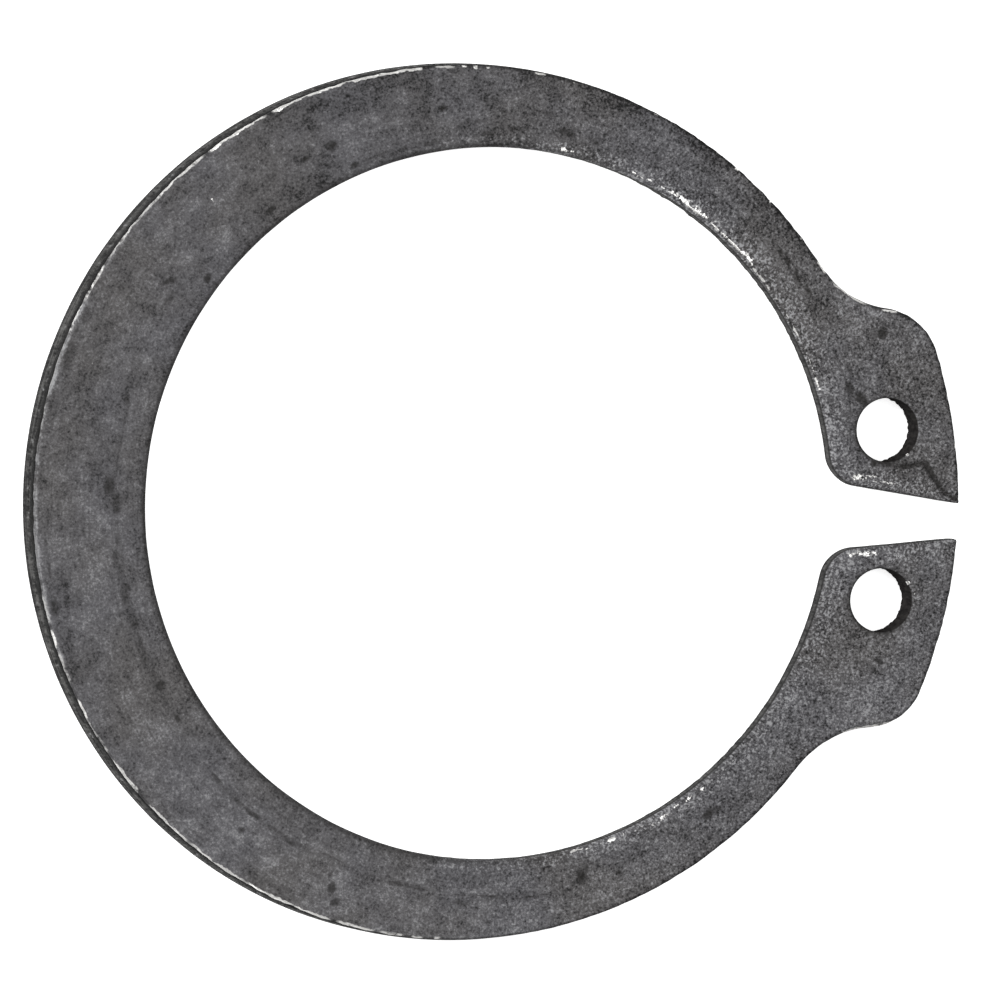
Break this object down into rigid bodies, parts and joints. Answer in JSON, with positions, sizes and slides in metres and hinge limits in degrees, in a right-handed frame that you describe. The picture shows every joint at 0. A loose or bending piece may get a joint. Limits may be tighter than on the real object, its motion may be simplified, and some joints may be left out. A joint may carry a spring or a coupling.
{
  "type": "retaining ring",
  "caption": "Flat open spring-steel ring with plier-hole lugs, which snaps into a groove round a shaft and keeps a bearing, gear or wheel from sliding off.",
  "frame": {"origin": "on the bore's axis, in the middle of the thickness", "axes": "+Z along the bore's axis, out of the face with the rolled bore edge; +X from the axis towards the gap between the lugs"},
  "size_m": [0.035, 0.0318, 0.0016],
  "materials": {
    "phosphated_steel": "dark grey phosphated spring steel with a fine dry grain, oil smudges and bright worn edges"
  },
  "bodies": {
    "root": {"retaining_ring": "phosphated_steel"}
  },
  "joints": []
}
